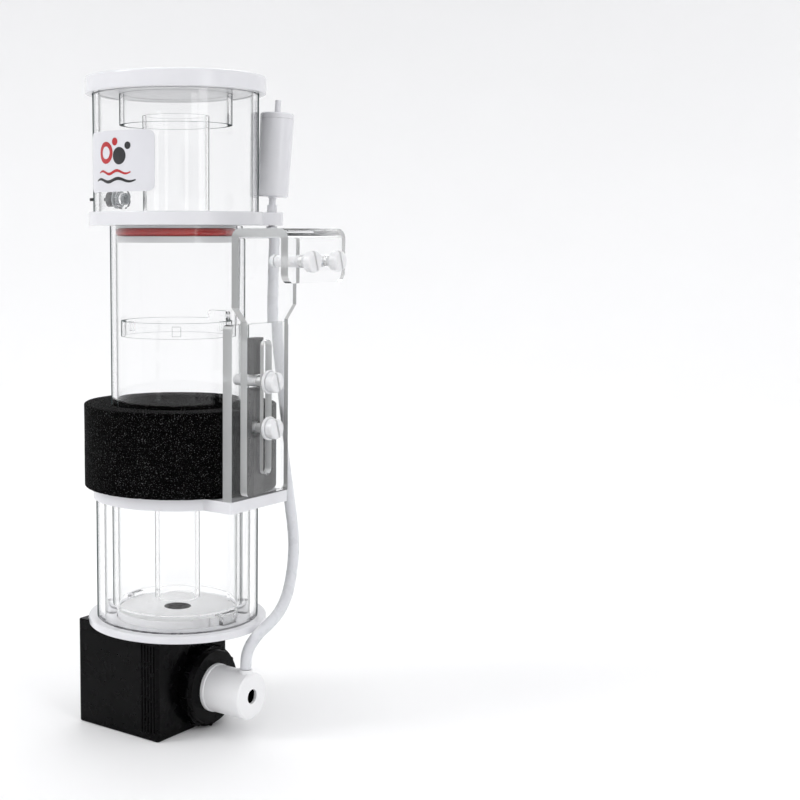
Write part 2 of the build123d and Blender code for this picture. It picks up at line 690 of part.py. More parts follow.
for level, z in zip(("lower", "upper"), LOCK_SCREW_Z):
    make_washer(f"slot_washer_{level}", z)
    make_screw(f"slot_screw_{level}", 0, z, LOCK_TIP_X, LOCK_HEAD_X, LOCK_HEAD_THICK, 0)
for side, y in (("left", -CLAMP_SCREW_Y), ("right", CLAMP_SCREW_Y)):
    make_tip(f"clamp_tip_{side}", y, CLAMP_SCREW_Z)
    shank_x = CLAMP_TIP_X + CAP_LENGTH + 0.1
    make_screw(f"clamp_screw_{side}", y, CLAMP_SCREW_Z, shank_x, CLAMP_HEAD_X, CLAMP_HEAD_THICK, NOSE_LENGTH)

# ---- cup ------------------------------------------------------------------------------------------------
with BuildPart() as cup_floor:
    with BuildSketch(Plane.XY.offset(FLOOR_BOTTOM)):
        Circle(FLOOR_R)
        with Locations(Location((0, 0, 0), (0, 0, EAR_ANGLE))):
            with Locations((EAR_REACH / 2, 0)):
                Rectangle(EAR_REACH, 2 * EAR_R)
        with Locations((EAR_X, EAR_Y)):
            Circle(EAR_R)
    extrude(amount=FLOOR_TOP - FLOOR_BOTTOM)
    fillet(cup_floor.faces().filter_by(Axis.Z).edges(), radius=0.6)
    with BuildSketch(Plane.XY.offset(FLOOR_BOTTOM)):
        Circle(RISER_BORE_R)
        with Locations((EAR_X, EAR_Y)):
            Circle(3.0 + GLUE)
    extrude(amount=FLOOR_TOP - FLOOR_BOTTOM, mode=Mode.SUBTRACT)
finish(cup_floor.part, "cup_floor")

SEAL_Z = 268.85
SEAL_CENTRE_R = COLUMN_BORE_R - 0.06 - SEAL_R
GROOVE_R = SEAL_CENTRE_R - SEAL_R - 0.05
with BuildPart() as cup_neck:
    neck_outline = [
        (RISER_BORE_R, FLOOR_BOTTOM),
        (NECK_R, FLOOR_BOTTOM),
        (NECK_R, SEAL_Z + SEAL_R + 0.1),
        (GROOVE_R, SEAL_Z + SEAL_R + 0.1),
        (GROOVE_R, SEAL_Z - SEAL_R - 0.1),
        (NECK_R, SEAL_Z - SEAL_R - 0.1),
        (NECK_R - 0.6, NECK_BOTTOM),
        (25.5, NECK_BOTTOM),
    ]
    revolve(profile(neck_outline, Plane.XZ), axis=Axis.Z)
finish(cup_neck.part, "cup_neck")

with BuildPart() as neck_seal:
    with BuildSketch(Plane.XZ):
        with Locations((SEAL_CENTRE_R, SEAL_Z)):
            Circle(SEAL_R)
    revolve(axis=Axis.Z)
finish(neck_seal.part, "neck_seal")

with BuildPart() as cup_wall:
    with BuildSketch(Plane.XY.offset(FLOOR_TOP)):
        Circle(CUP_R)
        Circle(CUP_BORE_R, mode=Mode.SUBTRACT)
    extrude(amount=CUP_TOP - FLOOR_TOP)
    with BuildSketch(along_x(-CUP_R - 1, 0, DRAIN_Z)):
        Circle(DRAIN_R + GLUE)
    extrude(amount=8, mode=Mode.SUBTRACT)
finish(cup_wall.part, "cup_wall")

make_tube("riser_tube", RISER_R, RISER_BORE_R, FLOOR_TOP, RISER_TOP)

DRAIN_END_X = -53.0
DRAIN_INNER_X = -36.6
DRAIN_BORE_R = 2.1
NUT_X = (-40.6, -38.2)
with BuildPart() as drain_stub:
    with BuildSketch(along_x(DRAIN_END_X, 0, DRAIN_Z)):
        Circle(DRAIN_R)
    extrude(amount=DRAIN_INNER_X - DRAIN_END_X)
    with BuildSketch(along_x(-46.0, 0, DRAIN_Z)):
        Circle(5.2)
    extrude(amount=1.8)
    with BuildSketch(along_x(DRAIN_END_X, 0, DRAIN_Z)):
        Circle(DRAIN_BORE_R)
    extrude(amount=DRAIN_INNER_X - DRAIN_END_X, mode=Mode.SUBTRACT)
finish(drain_stub.part, "drain_stub")

with BuildPart() as drain_nut:
    with BuildSketch(along_x(NUT_X[0], 0, DRAIN_Z)):
        Circle(5.6)
        Circle(DRAIN_R + GLUE, mode=Mode.SUBTRACT)
    extrude(amount=NUT_X[1] - NUT_X[0])
    with BuildSketch(along_x(NUT_X[0], 0, DRAIN_Z)):
        with PolarLocations(6.4, 6):
            Circle(1.2)
    extrude(amount=NUT_X[1] - NUT_X[0], mode=Mode.SUBTRACT)
finish(drain_nut.part, "drain_nut")

PLUG_X = (-56.0, -46.4)
PLUG_TAB_END = -62.5
with BuildPart() as drain_plug:
    with BuildSketch(along_x(PLUG_X[0], 0, DRAIN_Z)):
        Circle(DRAIN_R + 0.9)
    extrude(amount=PLUG_X[1] - PLUG_X[0])
    fillet(drain_plug.edges().group_by(Axis.X)[0], radius=0.8)
    with BuildSketch(Plane.XY.offset(DRAIN_Z - 0.8)):
        with Locations(((PLUG_TAB_END + PLUG_X[0]) / 2 + 1, 0)):
            SlotOverall(PLUG_X[0] - PLUG_TAB_END + 2, 5.6)
    extrude(amount=1.6)
    with BuildSketch(along_x(DRAIN_END_X - 0.2, 0, DRAIN_Z)):
        Circle(DRAIN_R + RUNNING)
    extrude(amount=10, mode=Mode.SUBTRACT)
finish(drain_plug.part, "drain_plug")

LABEL_ANGLE = 263.6
LABEL_WIDTH = 47.5
LABEL_HEIGHT = 30.8
LABEL_Z = 304.8
LABEL_THICK = 0.3
with BuildPart() as cup_label:
    label_plane = Plane(
        origin=(0, 0, LABEL_Z),
        x_dir=(-sin(radians(LABEL_ANGLE)), cos(radians(LABEL_ANGLE)), 0),
        z_dir=(cos(radians(LABEL_ANGLE)), sin(radians(LABEL_ANGLE)), 0),
    )
    with BuildSketch(label_plane.offset(10)):
        RectangleRounded(LABEL_WIDTH, LABEL_HEIGHT, 3.5)
    extrude(amount=CUP_R)
    with BuildSketch(Plane.XY.offset(LABEL_Z - LABEL_HEIGHT)):
        Circle(CUP_R + GLUE + LABEL_THICK)
        Circle(CUP_R + GLUE, mode=Mode.SUBTRACT)
    extrude(amount=2 * LABEL_HEIGHT, mode=Mode.INTERSECT)
finish(cup_label.part, "cup_label")

# ---- ear fitting and air silencer, along an axis that leans away from the cup ----------------------------
EAR_AXIS = upright(EAR_X, EAR_Y, FLOOR_TOP, SILENCER_LEAN, EAR_ANGLE)
COLLAR_TOP = 4.0
STEM_R = 1.9
STEM_BORE_R = 1.0
SIL_BOTTOM = 8.3
SIL_SEAM = 50.0
SIL_TOP = 53.0
SIL_R = (8.4, 9.15)
SIL_WALL = 1.2
NOZZLE_R = 1.6
NOZZLE_TOP = 60.0
HOSE_END_Z = FLOOR_BOTTOM - 0.4


def silencer_profile(points):
    """Outline of (radius, distance up the leaning axis), as a sketch."""
    return profile(points, side_of(EAR_AXIS))


LEANING = Axis(EAR_AXIS.origin, EAR_AXIS.z_dir)

with BuildPart() as ear_fitting:
    with BuildSketch(Plane.XY.offset(FLOOR_BOTTOM)):
        with Locations((EAR_X, EAR_Y)):
            Circle(3.0)
    extrude(amount=FLOOR_TOP - FLOOR_BOTTOM)
    revolve(silencer_profile([(0, -1), (2.7, -1), (2.7, COLLAR_TOP), (0, COLLAR_TOP)]), axis=LEANING)
    with BuildSketch(Plane.XY.offset(FLOOR_BOTTOM - 5.5)):
        with Locations((EAR_X, EAR_Y)):
            Circle(1.7)
    extrude(amount=6.0)
    with BuildSketch(Plane.XY.offset(FLOOR_BOTTOM - 6.0)):
        with Locations((EAR_X, EAR_Y)):
            Circle(0.9)
    extrude(amount=12.0, mode=Mode.SUBTRACT)
    revolve(
        silencer_profile([(0, -3), (STEM_R + RUNNING, -3), (STEM_R + RUNNING, COLLAR_TOP + 1), (0, COLLAR_TOP + 1)]),
        axis=LEANING,
        mode=Mode.SUBTRACT,
    )
finish(ear_fitting.part, "ear_fitting")

with BuildPart() as silencer_body:
    body_outline = [
        (STEM_BORE_R, -2.7),
        (STEM_R, -2.7),
        (STEM_R, SIL_BOTTOM - 1),
        (STEM_R + 0.8, SIL_BOTTOM),
        (SIL_R[0] - 0.6, SIL_BOTTOM),
        (SIL_R[0], SIL_BOTTOM + 0.6),
        (SIL_R[1], SIL_SEAM),
        (SIL_R[1] - SIL_WALL, SIL_SEAM),
        (SIL_R[0] - SIL_WALL, SIL_BOTTOM + 1.5),
        (STEM_BORE_R, SIL_BOTTOM + 1.5),
    ]
    revolve(silencer_profile(body_outline), axis=LEANING)
finish(silencer_body.part, "silencer_body")

with BuildPart() as silencer_foam:
    foam_outline = [(0, SIL_BOTTOM + 3), (6.9, SIL_BOTTOM + 3), (7.2, SIL_SEAM - 5), (0, SIL_SEAM - 5)]
    revolve(silencer_profile(foam_outline), axis=LEANING)
finish(silencer_foam.part, "silencer_foam")

with BuildPart() as silencer_cap:
    plug_r = SIL_R[1] - SIL_WALL - 0.1
    cap_outline = [
        (0.9, SIL_SEAM + 0.1),
        (plug_r - 1.4, SIL_SEAM + 0.1),
        (plug_r - 1.4, SIL_SEAM - 3),
        (plug_r, SIL_SEAM - 3),
        (plug_r, SIL_SEAM + 0.1),
        (SIL_R[1], SIL_SEAM + 0.1),
        (SIL_R[1], SIL_TOP - 0.7),
        (SIL_R[1] - 0.7, SIL_TOP),
        (NOZZLE_R, SIL_TOP),
        (NOZZLE_R, NOZZLE_TOP),
        (0.9, NOZZLE_TOP),
    ]
    revolve(silencer_profile(cap_outline), axis=LEANING)
finish(silencer_cap.part, "silencer_cap")

# ---- lid ------------------------------------------------------------------------------------------------
with BuildPart() as lid:
    with BuildSketch(Plane.XY.offset(LID_BOTTOM)):
        Circle(LID_R)
    extrude(amount=TOTAL_HEIGHT - LID_BOTTOM)
    fillet(lid.edges().group_by(Axis.Z)[-1], radius=1.4)
    fillet(lid.edges().group_by(Axis.Z)[0], radius=0.6)
    # groove that drops over the cup's wall
    with BuildSketch(Plane.XY.offset(LID_BOTTOM)):
        Circle(CUP_R + SLIP)
        Circle(CUP_BORE_R - SLIP, mode=Mode.SUBTRACT)
    extrude(amount=CUP_TOP - LID_BOTTOM + SLIP, mode=Mode.SUBTRACT)
finish(lid.part, "lid")

make_tube("foam_guard", GUARD_R, GUARD_R - GUARD_WALL, GUARD_BOTTOM, LID_BOTTOM)

# ---- air hose -------------------------------------------------------------------------------------------
# It leaves the intake's port straight up, swings out round the base and climbs beside the sponge and the
# hook to the underside of the cup's ear. The column carries it; a little slack shows below the shelf.
HOSE_ROUTE = [
    (AIR_PORT_X, 0, PORT_TOP + SLIP),
    (AIR_PORT_X, 0, 43.5),
    (49.0, 1.0, 49.5),
    (52.5, 3.5, 56.0),
    (56.0, 8.5, 61.0),
    (57.5, 16.0, 66.0),
    (56.0, 25.0, 72.5),
    (54.0, 31.0, 79.0),
    (52.5, 36.0, 89.5),
    (51.5, 38.0, 104.0),
    (49.5, 34.5, 131.5),
    (47.0, 33.0, 153.5),
    (42.0, 33.0, 187.5),
    (36.5, 35.0, 216.0),
    (33.5, 39.5, 245.0),
    (EAR_X, EAR_Y, 262.5),
    (EAR_X, EAR_Y, HOSE_END_Z),
]


def route_radii(points):
    """The arc at each corner: 0.45 of its shorter run over the tangent of half the turn."""
    radii = []
    for before, here, after in zip(points, points[1:], points[2:]):
        first = Vector(*here) - Vector(*before)
        second = Vector(*after) - Vector(*here)
        half_turn = radians(first.get_angle(second)) / 2
        radii.append(0.45 * min(first.length, second.length) / tan(half_turn))
    return radii


HOSE_RADII = route_radii(HOSE_ROUTE)
with BuildPart() as air_hose:
    with BuildLine() as hose_line:
        FilletPolyline(*HOSE_ROUTE, radius=HOSE_RADII)
    with BuildSketch(Plane(origin=HOSE_ROUTE[0], z_dir=(0, 0, 1))):
        Circle(HOSE_R)
    sweep(path=hose_line.wires()[0])
    hose_length = hose_line.wires()[0].length
    hose_volume = air_hose.part.volume
    # the ear's barb goes up this end
    with BuildSketch(Plane.XY.offset(HOSE_END_Z - 6.0)):
        with Locations((EAR_X, EAR_Y)):
            Circle(1.75)
    extrude(amount=7.0, mode=Mode.SUBTRACT)
finish(air_hose.part, "air_hose")

print("hose radii", [round(r, 1) for r in HOSE_RADII], "smallest in diameters", round(min(HOSE_RADII) / 2 / HOSE_R, 2))
print("hose length", round(hose_length, 1), "volume / (section x length)", hose_volume / (pi * HOSE_R**2 * hose_length))
print("hose reach from axis", [round(hypot(p[0], p[1]), 1) for p in HOSE_ROUTE])
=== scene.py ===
import json
from math import asin, cos, pi, radians, sin

import bpy
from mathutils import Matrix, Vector, noise


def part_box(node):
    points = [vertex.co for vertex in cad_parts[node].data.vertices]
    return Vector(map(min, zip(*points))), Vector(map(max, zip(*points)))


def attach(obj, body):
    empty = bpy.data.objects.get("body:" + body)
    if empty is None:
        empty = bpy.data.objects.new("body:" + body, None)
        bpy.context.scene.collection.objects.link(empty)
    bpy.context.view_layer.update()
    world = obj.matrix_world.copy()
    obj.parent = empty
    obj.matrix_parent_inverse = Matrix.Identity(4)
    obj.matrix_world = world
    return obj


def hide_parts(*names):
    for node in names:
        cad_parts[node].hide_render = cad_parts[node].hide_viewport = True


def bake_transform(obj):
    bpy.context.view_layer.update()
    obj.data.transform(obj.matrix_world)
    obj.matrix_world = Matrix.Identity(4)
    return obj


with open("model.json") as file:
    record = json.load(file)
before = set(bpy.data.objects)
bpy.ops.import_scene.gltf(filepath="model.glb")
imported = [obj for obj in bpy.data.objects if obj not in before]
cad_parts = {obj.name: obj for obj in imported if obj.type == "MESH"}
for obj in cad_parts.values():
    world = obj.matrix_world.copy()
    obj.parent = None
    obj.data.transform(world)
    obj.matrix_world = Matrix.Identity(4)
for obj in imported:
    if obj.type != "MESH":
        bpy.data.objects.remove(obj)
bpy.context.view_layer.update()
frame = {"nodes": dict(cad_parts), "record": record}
nodes = frame["nodes"]
MM = 0.001

# the sponge's mesh
SPONGE_STEPS = 340  # cuts round the ring
SPONGE_GRAIN = 1.0 * MM  # spacing of the points along a cut
SPONGE_CORNER = 0.7 * MM
SPONGE_INSET = 0.2 * MM  # how far the foam stays inside the CAD ring
COLUMN_GAP = 0.35 * MM
PAD_GAP = 0.5 * MM
PIT_DEPTH = 0.55 * MM
PIT_GRAINS = (620, 1300)  # coarse and fine pits to the metre
SAG_DEPTH = 0.35 * MM
SAG_GRAINS = 45

# the hose
HOSE_R = 3.0 * MM
HOSE_BORE_R = 1.9 * MM
HOSE_SIDES = 28

# the emblem on the label
LABEL_FACING = radians(263.6)  # direction that the middle of the label faces
INK_LIFT = 0.42 * MM  # above the cup's wall, just clear of the label's film

# where clear plastic takes its painted dark outline, a painted reflection of dark surroundings, and then
# closes, from 0 face on to 1 edge on, and the share of that painted outline which a sawn side takes
EDGE_PAINTED_SHADE = (0.70, 0.84)
EDGE_OPAQUE = (0.76, 0.88)
SAWN_PAINTED_SHADE = 0.752

# how far light spreads inside the milky plastics, by colour
EVEN_SCATTER = (1.0, 0.95, 0.9)

# the set, in metres
FLOOR_FLAT_R = 0.6
BOWL_R = 0.8
BOWL_START_R = 1.6
WALL_TOP = 3.2
FLOOR_TURNS = 96
LIGHT_AIM = (0.01, 0, 0.17)


# ---- materials ------------------------------------------------------------------------------------------
class Surface:
    """A Principled material whose detail comes from noise in the object's own coordinates."""

    def __init__(self, name, **sockets):
        self.material = bpy.data.materials.new(name)
        self.material.use_nodes = True
        self.tree = self.material.node_tree
        self.shader = self.tree.nodes["Principled BSDF"]
        self.coords = self.tree.nodes.new("ShaderNodeTexCoord")
        for key, value in sockets.items():
            self.shader.inputs[key.replace("_", " ").title().replace("Ior", "IOR")].default_value = value

    def noise(self, scale, detail=3.0, stretch=(1, 1, 1)):
        """A noise value that varies over the surface, with `scale` grains to the metre."""
        mapping = self.tree.nodes.new("ShaderNodeMapping")
        mapping.inputs["Scale"].default_value = stretch
        grain = self.tree.nodes.new("ShaderNodeTexNoise")
        grain.inputs["Scale"].default_value = scale
        grain.inputs["Detail"].default_value = detail
        self.tree.links.new(self.coords.outputs["Object"], mapping.inputs["Vector"])
        self.tree.links.new(mapping.outputs["Vector"], grain.inputs["Vector"])
        return grain.outputs["Fac"]

    def cells(self, scale):
        """Distance to the nearest of scattered points, for pores."""
        pores = self.tree.nodes.new("ShaderNodeTexVoronoi")
        pores.inputs["Scale"].default_value = scale
        self.tree.links.new(self.coords.outputs["Object"], pores.inputs["Vector"])
        return pores.outputs["Distance"]

    def maths(self, operation, *values):
        """Arithmetic on numbers and on outputs of nodes."""
        step = self.tree.nodes.new("ShaderNodeMath")
        step.operation = operation
        for socket, value in zip(step.inputs, values):
            if isinstance(value, (int, float)):
                socket.default_value = value
            else:
                self.tree.links.new(value, socket)
        return step.outputs["Value"]

    def spread(self, value, low, high, socket, start=0.3, end=0.7):
        """Carries a value to a socket of the shader, from `low` to `high`."""
        ramp = self.tree.nodes.new("ShaderNodeValToRGB")
        ramp.color_ramp.elements[0].position = start
        ramp.color_ramp.elements[1].position = end
        for stop, level in zip(ramp.color_ramp.elements, (low, high)):
            stop.color = (*level, 1) if isinstance(level, tuple) else (level, level, level, 1)
        self.tree.links.new(value, ramp.inputs["Fac"])
        self.tree.links.new(ramp.outputs["Color"], self.shader.inputs[socket])

    def bump(self, value, height, strength):
        """Raises the surface by up to `height` metres."""
        relief = self.tree.nodes.new("ShaderNodeBump")
        relief.inputs["Strength"].default_value = strength
        relief.inputs["Distance"].default_value = height
        self.tree.links.new(value, relief.inputs["Height"])
        self.tree.links.new(relief.outputs["Normal"], self.shader.inputs["Normal"])


def clear_acrylic(name, painted_dark_rims=False, sawn_sides=False):
    """Polished clear plastic, whose colour turns to a painted dark line, a painted reflection of dark
    surroundings, where the eye grazes its upright walls.

    With `painted_dark_rims` its level faces get the painted line too. With `sawn_sides` the faces towards Y
    are frosted by the saw and also take a fixed part of the painted dark line.
    """
    surface = Surface(name, ior=1.36, transmission_weight=1.0, specular_ior_level=0.0)
    depth = surface.tree.nodes.new("ShaderNodeVolumeAbsorption")
    depth.inputs["Color"].default_value = (0.50, 0.55, 0.58, 1)
    depth.inputs["Density"].default_value = 6.0
    surface.tree.links.new(depth.outputs["Volume"], surface.tree.nodes["Material Output"].inputs["Volume"])
    # painted dark reflection: where the eye grazes the walls the colour darkens and the plastic closes,
    # standing in for dark surroundings mirrored there
    grazing = surface.tree.nodes.new("ShaderNodeLayerWeight")
    grazing.inputs["Blend"].default_value = 0.5
    axes = surface.tree.nodes.new("ShaderNodeSeparateXYZ")
    surface.tree.links.new(surface.coords.outputs["Normal"], axes.inputs["Vector"])
    outline = grazing.outputs["Facing"]
    if not painted_dark_rims:
        upright = surface.maths("SUBTRACT", 1.0, surface.maths("ABSOLUTE", axes.outputs["Z"]))
        outline = surface.maths("MULTIPLY", outline, upright)
    if sawn_sides:
        # the sawn faces are frosted, and also take a fixed part of the painted dark line
        sawn = surface.maths("ABSOLUTE", axes.outputs["Y"])
        outline = surface.maths("MAXIMUM", outline, surface.maths("MULTIPLY", sawn, SAWN_PAINTED_SHADE))
        surface.spread(sawn, 1.0, 0.5, "Transmission Weight", 0.5, 0.7)
        surface.spread(sawn, 0.01, 0.5, "Roughness", 0.5, 0.7)
    else:
        surface.spread(outline, 1.0, 0.0, "Transmission Weight", *EDGE_OPAQUE)
        surface.spread(surface.noise(70, 4), 0.0, 0.005, "Roughness", 0.55, 0.8)
    # the painted dark line, carried into the colour
    surface.spread(outline, (1.0, 1.0, 1.0), (0.04, 0.06, 0.06), "Base Color", *EDGE_PAINTED_SHADE)
    return surface.material


def moulded(name, low, high, rough, grain=1400, height=0.00003, uneven=0.08, **sockets):
    """Moulded plastic or rubber: two close shades, uneven gloss and a fine grain."""
    surface = Surface(name, **sockets)
    surface.spread(surface.noise(90, 2), low, high, "Base Color")
    surface.spread(surface.noise(160, 2), rough, rough + uneven, "Roughness")
    surface.bump(surface.noise(grain, 2), height, 0.6)
    return surface.material


def foam(name, shadow, painted_glint, pores):
    """Open-cell foam: near-black, for its own black and the shade in its pores, with sparse lighter flecks
    painted into its colour as the glints of struts, whichever way the light falls.
    """
    surface = Surface(name, specular_ior_level=0.02)
    # painted glints: sparse lighter flecks over the near-black of the foam and its shaded pores
    surface.spread(surface.noise(pores, 3), shadow, painted_glint, "Base Color", 0.58, 0.72)
    surface.spread(surface.noise(pores * 0.7, 2), 0.45, 0.95, "Roughness")
    surface.bump(surface.cells(pores * 1.1), 0.0007, 1.0)
    return surface.material


def metal(name, low, high, rough, stretch):
    """Bare metal with its grain drawn out along one direction."""
    surface = Surface(name, metallic=1.0)
    surface.spread(surface.noise(500, 3, stretch), low, high, "Base Color")
    surface.spread(surface.noise(800, 2, stretch), rough, rough + 0.2, "Roughness")
    surface.bump(surface.noise(900, 2, stretch), 0.00004, 0.5)
    return surface.material


MATERIALS = {
    "clear_acrylic": clear_acrylic("clear_acrylic"),
    "painted_rim_acrylic": clear_acrylic("painted_rim_acrylic", painted_dark_rims=True),
    "sawn_acrylic": clear_acrylic("sawn_acrylic", sawn_sides=True),
    "white_pvc": moulded(
        "white_pvc",
        (0.745, 0.745, 0.775),
        (0.765, 0.765, 0.792),
        0.22,
        height=0.00001,
        uneven=0.04,
        coat_weight=0.2,
    ),
    # a lighter copy of white_pvc, which paints extra light onto the white pieces that wear it
    "painted_light_pvc": moulded(
        "painted_light_pvc", (0.86, 0.86, 0.87), (0.88, 0.88, 0.89), 0.3, height=0.00001, uneven=0.04
    ),
    "black_plastic": moulded(
        "black_plastic",
        (0.0015, 0.0015, 0.0017),
        (0.0025, 0.0025, 0.0028),
        0.22,
        grain=900,
        height=0.00001,
        specular_ior_level=0.07,
    ),
    "rotor_plastic": moulded("rotor_plastic", (0.68, 0.69, 0.69), (0.77, 0.78, 0.78), 0.35),
    # near-black foam with pore shade, and painted glints of 0.11
    "sponge_foam": foam("sponge_foam", (0.0002, 0.0002, 0.0002), (0.11, 0.11, 0.112), 1700),
    "block_foam": moulded("block_foam", (0.006, 0.006, 0.006), (0.018, 0.018, 0.018), 0.6, 900, 0.0002),
    "red_silicone": moulded(
        "red_silicone", (0.50, 0.008, 0.006), (0.62, 0.018, 0.012), 0.28, coat_weight=0.2
    ),
    "black_rubber": moulded("black_rubber", (0.008, 0.008, 0.008), (0.018, 0.018, 0.018), 0.5),
    "milky_silicone": moulded(
        "milky_silicone",
        (0.70, 0.71, 0.74),
        (0.73, 0.74, 0.77),
        0.25,
        height=0.00001,
        subsurface_weight=0.3,
        subsurface_scale=0.003,
        subsurface_radius=EVEN_SCATTER,
        coat_weight=0.2,
    ),
    "grey_plastic": moulded(
        "grey_plastic", (0.56, 0.59, 0.61), (0.60, 0.63, 0.65), 0.2, transmission_weight=0.5
    ),
    "nylon": moulded(
        "nylon",
        (0.76, 0.765, 0.78),
        (0.79, 0.79, 0.80),
        0.24,
        subsurface_weight=0.35,
        subsurface_scale=0.003,
        subsurface_radius=EVEN_SCATTER,
        coat_weight=0.2,
    ),
    "soft_cap": moulded(
        "soft_cap",
        (0.70, 0.72, 0.73),
        (0.78, 0.79, 0.80),
        0.4,
        subsurface_weight=0.2,
        subsurface_scale=0.003,
        subsurface_radius=EVEN_SCATTER,
    ),
    "label_film": moulded("label_film", (0.70, 0.70, 0.735), (0.72, 0.72, 0.755), 0.3, 2400, 0.00001),
    "dark_ink": moulded("dark_ink", (0.012, 0.012, 0.014), (0.02, 0.02, 0.023), 0.3, 2400, 0.00001),
    "red_ink": moulded("red_ink", (0.42, 0.012, 0.016), (0.48, 0.018, 0.022), 0.3, 2400, 0.00001),
    "ferrite": moulded("ferrite", (0.02, 0.02, 0.022), (0.05, 0.05, 0.054), 0.4, 700, metallic=0.4),
    "ceramic": moulded("ceramic", (0.80, 0.79, 0.76), (0.88, 0.87, 0.85), 0.15, coat_weight=0.4),
    "core_steel": metal("core_steel", (0.25, 0.26, 0.27), (0.42, 0.43, 0.44), 0.3, (12, 0.2, 0.2)),
    "coil_copper": metal("coil_copper", (0.45, 0.16, 0.07), (0.62, 0.26, 0.12), 0.25, (0.2, 0.2, 6)),
}

# nodes whose finish isn't the plain one of their material slot
OWN_FINISH = {
    "back_plate": "sawn_acrylic",
    "hanger": "sawn_acrylic",
    # these clear pieces get the painted dark line on their level faces as well
    "riser_tube": "painted_rim_acrylic",
    "foam_guard": "painted_rim_acrylic",
    "guide_ring": "painted_rim_acrylic",
    "bayonet_hooks": "painted_rim_acrylic",
    # these white pieces wear the lighter copy of white_pvc, painted extra light
    "outlet_plate": "painted_light_pvc",
    "cup_neck": "painted_light_pvc",
    "intake": "painted_light_pvc",
}


def paint_frame():
    """Gives every CAD node the finish of its material slot."""
    for part in frame["record"]["subparts"]:
        node = nodes[part["node"]]
        node.data.materials.clear()
        finish = OWN_FINISH.get(part["node"], part["material_slot"])
        node.data.materials.append(MATERIALS[finish])
        # lamps shine through clear plastic
        node.visible_shadow = part["material_slot"] != "clear_acrylic"


# ---- pieces ---------------------------------------------------------------------------------------------
def mesh_piece(name, points, faces, finish):
    """A smooth-shaded piece with one finish."""
    data = bpy.data.meshes.new(name)
    data.from_pydata(points, [], faces)
    data.validate()
    data.polygons.foreach_set("use_smooth", [True] * len(data.polygons))
    data.update()
    piece = bpy.data.objects.new(name, data)
    bpy.context.scene.collection.objects.link(piece)
    data.materials.append(MATERIALS[finish])
    return piece


def sponge_section(inner, outer, low, high):
    """Outline of the sponge's cut: (radius, height) round a rectangle with rounded corners."""
    outline = []
    corners = ((outer, high, 0), (inner, high, 90), (inner, low, 180), (outer, low, 270))
    for radius, height, start in corners:
        cx = radius - SPONGE_CORNER * (1 if start in (0, 270) else -1)
        cz = height - SPONGE_CORNER * (1 if start in (0, 90) else -1)
        for i in range(5):
            angle = radians(start + i * 22.5)
            outline.append((cx + SPONGE_CORNER * cos(angle), cz + SPONGE_CORNER * sin(angle)))
    filled = []
    for (r0, z0), (r1, z1) in zip(outline, outline[1:] + outline[:1]):
        count = max(1, round(((r1 - r0) ** 2 + (z1 - z0) ** 2) ** 0.5 / SPONGE_GRAIN))
        filled += [(r0 + (r1 - r0) * i / count, z0 + (z1 - z0) * i / count) for i in range(count)]
    return filled


def make_sponge():
    """The sponge: a ring of coarse foam, cut open where the pads pass, pitted all over."""
    low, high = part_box("sponge_ring")
    bottom, top = low.z + SPONGE_INSET, high.z - SPONGE_INSET
    outer = high.y - SPONGE_INSET
    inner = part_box("column_tube")[1].x + COLUMN_GAP
    half_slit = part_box("pad_lower")[1].y + PAD_GAP
    section = sponge_section(inner, outer, bottom, top)
    ring = len(section)
    middle = Vector(((inner + outer) / 2, (low.z + high.z) / 2))
    points = []
    for i in range(SPONGE_STEPS + 1):
        for radius, height in section:
            start = asin(half_slit / radius)
            angle = start + (2 * pi - 2 * start) * i / SPONGE_STEPS
            place = Vector((radius * cos(angle), radius * sin(angle), height))
            pit = noise.noise(place * PIT_GRAINS[0]) * 0.45 + noise.noise(place * PIT_GRAINS[1]) * 0.3
            sag = noise.noise(place * SAG_GRAINS)
            depth = PIT_DEPTH * max(0.0, pit) + SAG_DEPTH * max(0.0, sag)
            inward = (middle - Vector((radius, height))).normalized() * depth
            points.append(
                (place.x + inward.x * cos(angle), place.y + inward.x * sin(angle), place.z + inward.y)
            )
    faces = []
    for i in range(SPONGE_STEPS):
        for j in range(ring):
            a, b = i * ring + j, i * ring + (j + 1) % ring
            faces.append((a, b, b + ring, a + ring))
    faces.append(tuple(range(ring)))
    faces.append(tuple(SPONGE_STEPS * ring + j for j in reversed(range(ring))))
    piece = mesh_piece("sponge", points, faces, "sponge_foam")
    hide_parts("sponge_ring")
    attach(piece, "sponge")


# the same route as the hose of the CAD model
HOSE_ROUTE_MM = [
    (47.5, 0.0, 37.4),
    (47.5, 0.0, 43.5),
    (49.0, 1.0, 49.5),
    (52.5, 3.5, 56.0),
    (56.0, 8.5, 61.0),
    (57.5, 16.0, 66.0),
    (56.0, 25.0, 72.5),
    (54.0, 31.0, 79.0),
    (52.5, 36.0, 89.5),
    (51.5, 38.0, 104.0),
    (49.5, 34.5, 131.5),
    (47.0, 33.0, 153.5),
    (42.0, 33.0, 187.5),
    (36.5, 35.0, 216.0),
    (33.5, 39.5, 245.0),
    (32.931, 41.4, 262.5),
    (32.931, 41.4, 272.0),
]


def hose_line():
    """Points along the smooth line through the hose's route."""
    curve = bpy.data.curves.new("hose_line", "CURVE")
    curve.dimensions = "3D"
    curve.resolution_u = 14
    spline = curve.splines.new("NURBS")
    spline.points.add(len(HOSE_ROUTE_MM) - 1)
    for point, place in zip(spline.points, HOSE_ROUTE_MM):
        point.co = (*(value * MM for value in place), 1.0)
    spline.order_u = 3
    spline.use_endpoint_u = True
    holder = bpy.data.objects.new("hose_line", curve)
    line = bpy.data.meshes.new_from_object(holder)
    points = [vertex.co.copy() for vertex in line.vertices]
    bpy.data.objects.remove(holder)
    return points


